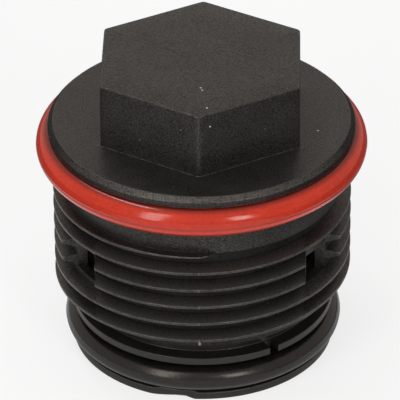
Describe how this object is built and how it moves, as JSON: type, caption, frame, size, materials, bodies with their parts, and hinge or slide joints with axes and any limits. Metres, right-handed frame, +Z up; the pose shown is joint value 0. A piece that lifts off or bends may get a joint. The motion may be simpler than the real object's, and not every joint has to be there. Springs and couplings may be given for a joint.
{
  "type": "coolant reservoir cap",
  "caption": "Screw-in cap for a coolant expansion tank: hexagonal spanner head, red seal under a flange, coarse outside thread with side vent pockets, and a pressure and vacuum valve inside.",
  "frame": {"origin": "middle of the bottom rim's underside, on the cap's axis", "axes": "+Z up the cap's axis towards the hexagonal head; -Y is the front, where a corner of the head points; +X to the right"},
  "size_m": [0.0608, 0.0608, 0.0586],
  "materials": {
    "body_plastic": "fine-grained moulded, matt",
    "housing_plastic": "smooth moulded, low sheen",
    "red_rubber": "smooth, low sheen",
    "black_rubber": "smooth, low sheen",
    "brass": "turned",
    "spring_steel": "drawn wire"
  },
  "bodies": {
    "cap": {"cap_body": "body_plastic", "flange_seal": "red_rubber", "valve_housing": "housing_plastic", "housing_seal": "black_rubber", "relief_spring": "spring_steel"},
    "relief": {"relief_plate": "brass", "relief_seal": "black_rubber", "vacuum_spring": "spring_steel"},
    "vacuum": {"vacuum_valve": "brass", "vacuum_seal": "black_rubber", "vacuum_clip": "spring_steel"}
  },
  "joints": [
    {"name": "relief_lift", "type": "slide", "parent": "cap", "child": "relief", "axis": [0, 0, 1], "range_m": [0, 0.003], "stiffness_N_per_m": 2500, "springref_m": -0.0126, "deforming": ["relief_spring"]},
    {"name": "vacuum_open", "type": "slide", "parent": "relief", "child": "vacuum", "axis": [0, 0, -1], "range_m": [0, 0.0015], "stiffness_N_per_m": 200, "springref_m": -0.006, "deforming": ["vacuum_spring"]}
  ]
}
